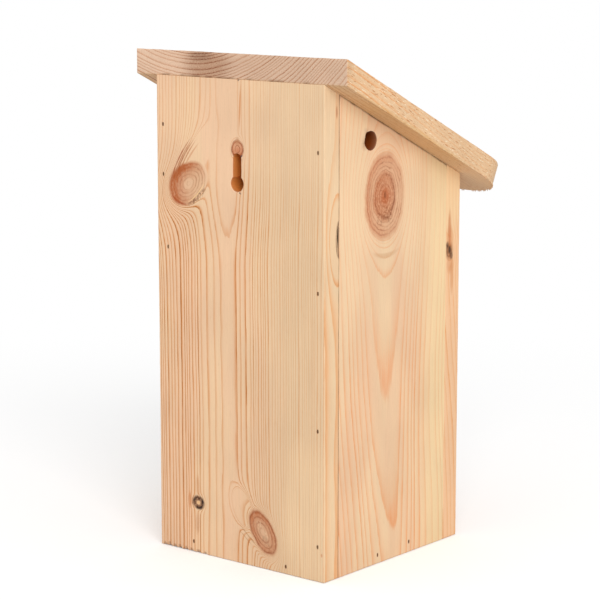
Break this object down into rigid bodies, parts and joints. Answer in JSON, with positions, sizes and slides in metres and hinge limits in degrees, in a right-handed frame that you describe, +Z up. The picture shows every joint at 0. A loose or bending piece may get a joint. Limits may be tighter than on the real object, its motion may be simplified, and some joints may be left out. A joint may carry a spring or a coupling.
{
  "type": "wooden nest box",
  "caption": "Tall box of softwood boards pinned with steel brads: roof board falling to the front, round entrance, air holes near the top and a keyhole in the back for hanging.",
  "frame": {"origin": "centre of the base, on the plane of the floor board's underside", "axes": "+Z up; the entrance faces -Y and the back board with its keyhole faces +Y; left, as seen from the front, is -X"},
  "size_m": [0.2, 0.2112, 0.3788],
  "materials": {
    "planed_softwood": "planed, unfinished",
    "sawn_softwood": "fine sawn, unfinished",
    "brad_steel": "dull, sunk heads"
  },
  "bodies": {
    "root": {"back_board": "planed_softwood", "front_board": "planed_softwood", "left_side_board": "planed_softwood", "right_side_board": "planed_softwood", "floor_board": "planed_softwood", "roof_board": "sawn_softwood", "brad_back_left_1": "brad_steel", "brad_back_left_2": "brad_steel", "brad_back_left_3": "brad_steel", "brad_back_left_4": "brad_steel", "brad_back_right_1": "brad_steel", "brad_back_right_2": "brad_steel", "brad_back_right_3": "brad_steel", "brad_front_left_1": "brad_steel", "brad_front_left_2": "brad_steel", "brad_front_left_3": "brad_steel", "brad_front_right_1": "brad_steel", "brad_front_right_2": "brad_steel", "brad_front_right_3": "brad_steel", "brad_back_floor_1": "brad_steel", "brad_back_floor_2": "brad_steel", "brad_front_floor_1": "brad_steel", "brad_front_floor_2": "brad_steel", "brad_left_floor_1": "brad_steel", "brad_left_floor_2": "brad_steel", "brad_right_floor_1": "brad_steel", "brad_right_floor_2": "brad_steel", "brad_roof_back_1": "brad_steel", "brad_roof_back_2": "brad_steel", "brad_roof_front_1": "brad_steel", "brad_roof_front_2": "brad_steel", "brad_roof_left_1": "brad_steel", "brad_roof_right_1": "brad_steel"}
  },
  "joints": []
}
